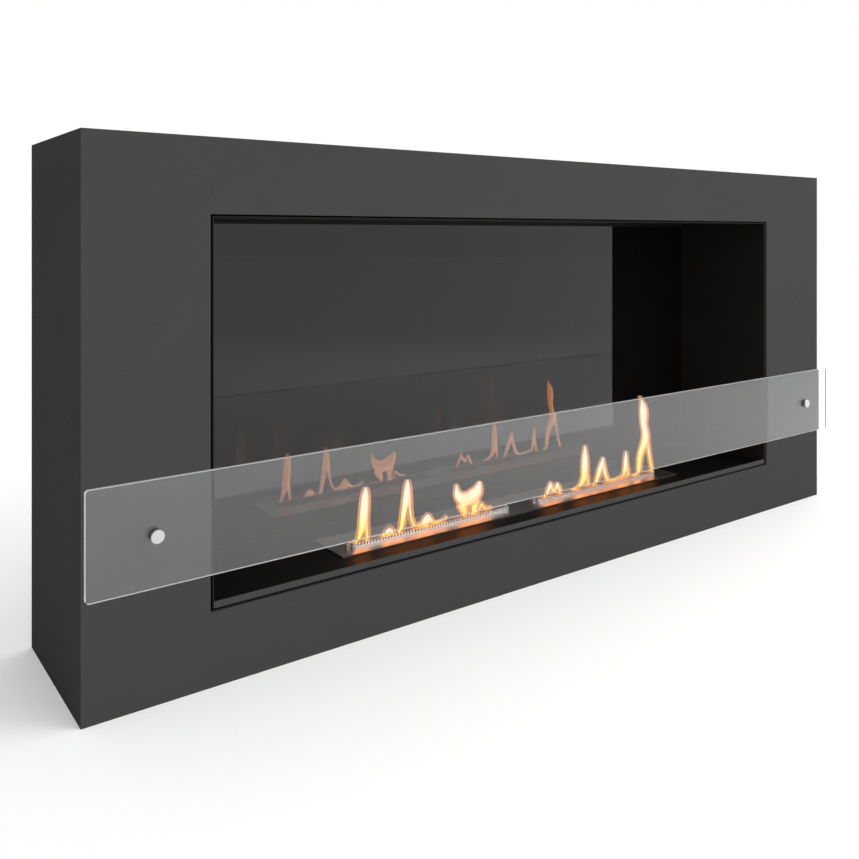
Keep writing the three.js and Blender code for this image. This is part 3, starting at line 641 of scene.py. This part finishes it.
def make_flame(name, x, strokes, body, material, grow=0.0):
    """One flame over its slot. Its attribute rise is a point's height as a share of the flame's."""
    verts, faces = [], []
    for points in strokes:
        add_tongue(verts, faces, points, grow)
    face_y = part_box("outer_casing")[0][1]
    place = Vector((x * MM, face_y + FLAME_DEPTH * MM, (FLAME_ROOT + FLAME_LIFT) * MM))
    mesh = merged_mesh(name, [Vector(v) * MM + place for v in verts], faces)
    top = max(z for points in strokes for _, z, _ in points)
    rise = mesh.attributes.new("rise", "FLOAT", "POINT")
    for i, vertex in enumerate(mesh.vertices):
        rise.data[i].value = (vertex.co.z - place.z) / (top * MM)
    mesh.materials.clear()
    mesh.materials.append(material)
    piece = bpy.data.objects.new(name, mesh)
    scene.collection.objects.link(piece)
    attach(piece, body)
    return piece


def make_flames():
    """Each flame has a core and a halo. Both ride on their burner."""
    core = flame("flame", is_halo=False)
    halo = flame("flame_halo", is_halo=True)
    for hand, flames in (("left", FLAMES_LEFT), ("right", FLAMES_RIGHT)):
        for name, (x, strokes) in flames.items():
            pair = (
                make_flame(name, x, strokes, "burner_" + hand, core),
                make_flame(name + "_halo", x, strokes, "burner_" + hand, halo, HALO),
            )
            for piece in pair:
                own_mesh(piece)


# ---- Floor, light and camera ----
def make_floor():
    """A pale matt floor, darker as a source of light than as it is seen."""
    bpy.ops.mesh.primitive_plane_add(size=FLOOR_SIZE, location=(0, 0, 0))
    floor = bpy.context.object
    floor.name = "floor"
    material, n = new_material("floor")
    seen = n.math("SUBTRACT", 1.0, n.rays()["Is Diffuse Ray"])
    cloud = n.choose(n.noise(2), 0, FLOOR_CLOUD)
    level = n.math("ADD", n.choose(seen, FLOOR_BOUNCE, FLOOR_SEEN), cloud)
    matt = n.add("ShaderNodeBsdfDiffuse", Color=level)
    glow = n.add("ShaderNodeEmission", Color=WHITE, Strength=n.math("MULTIPLY", seen, FLOOR_GLOW))
    both = n.add("ShaderNodeAddShader")
    n.set(both.inputs[0], matt.outputs[0])
    n.set(both.inputs[1], glow.outputs[0])
    n.output(both)
    floor.data.materials.append(material)


def make_softbox():
    """A square lamp in front, up to the right."""
    data = bpy.data.lights.new("softbox", "AREA")
    data.size = SOFTBOX_SIZE
    data.energy = SOFTBOX_POWER
    lamp = bpy.data.objects.new("softbox", data)
    scene.collection.objects.link(lamp)
    lamp.location = SOFTBOX_AT
    aim = Vector(SOFTBOX_AIM) - Vector(SOFTBOX_AT)
    lamp.rotation_euler = aim.to_track_quat("-Z", "Y").to_euler()


def make_world():
    """A room lighter overhead, in front and to the right. The camera, mirror and glass see plain white."""
    world = bpy.data.worlds.new("room")
    scene.world = world
    world.use_nodes = True
    n = Nodes(world.node_tree)
    direction = n.add("ShaderNodeTexCoord").outputs["Generated"]
    right = n.math("MULTIPLY", n.axis(direction, "X"), SKY_RIGHT)
    front = n.math("MULTIPLY", n.axis(direction, "Y"), -SKY_FRONT)
    up = n.math("MULTIPLY", n.math("MAXIMUM", n.axis(direction, "Z"), 0.0), SKY_TOP)
    level = n.math("ADD", n.math("ADD", n.math("ADD", right, front), up), SKY_MIDDLE)
    light = n.add("ShaderNodeBackground", Color=WHITE, Strength=level)
    backdrop = n.add("ShaderNodeBackground", Color=WHITE, Strength=1.0)
    rays = n.rays()
    sharp = n.math("MAXIMUM", rays["Is Glossy Ray"], rays["Is Transmission Ray"])
    seen = n.math("MAXIMUM", rays["Is Camera Ray"], sharp)
    n.output(n.mix(seen, light, backdrop), "ShaderNodeOutputWorld")


def make_camera():
    """The camera looks level, turned to the right by its yaw."""
    data = bpy.data.cameras.new("camera")
    camera = bpy.data.objects.new("camera", data)
    scene.collection.objects.link(camera)
    camera.location = CAMERA_AT
    camera.rotation_euler = (math.radians(90), 0, math.radians(-CAMERA_YAW))
    data.lens = CAMERA_LENS
    data.sensor_width = CAMERA_SENSOR
    data.shift_y = CAMERA_SHIFT_Y
    data.clip_start = CAMERA_NEAR
    data.clip_end = CAMERA_FAR
    scene.camera = camera


dress_nodes()
make_flames()
make_floor()
make_softbox()
make_world()
make_camera()
scene.view_settings.view_transform = "Standard"
